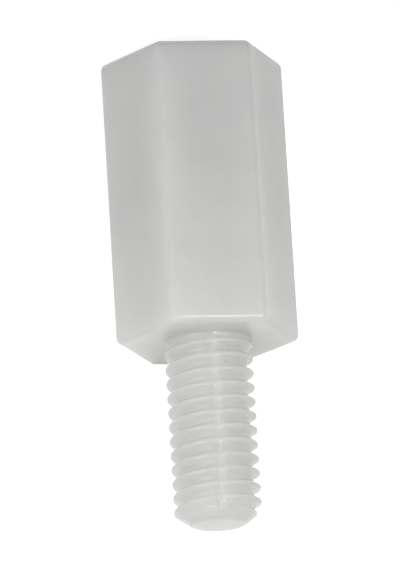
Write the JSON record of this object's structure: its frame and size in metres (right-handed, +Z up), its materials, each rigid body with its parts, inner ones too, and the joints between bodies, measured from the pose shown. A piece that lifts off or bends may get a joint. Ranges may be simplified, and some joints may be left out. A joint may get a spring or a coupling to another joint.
{
  "type": "hex standoff",
  "caption": "Hexagonal nylon standoff with a blind threaded bore in one end and a threaded stud on the other, for spacing and fastening circuit boards and panels.",
  "frame": {"origin": "on the standoff's axis, where the stud leaves the shoulder of the hex body", "axes": "+Y along the axis from the stud towards the bore's mouth, +Z up out of the flat opposite the one it lies on, +X across two corners of the hex"},
  "size_m": [0.0062, 0.0164, 0.0054],
  "materials": {
    "natural_nylon": "satin, milky and slightly translucent"
  },
  "bodies": {
    "root": {"hex_standoff": "natural_nylon"}
  },
  "joints": []
}
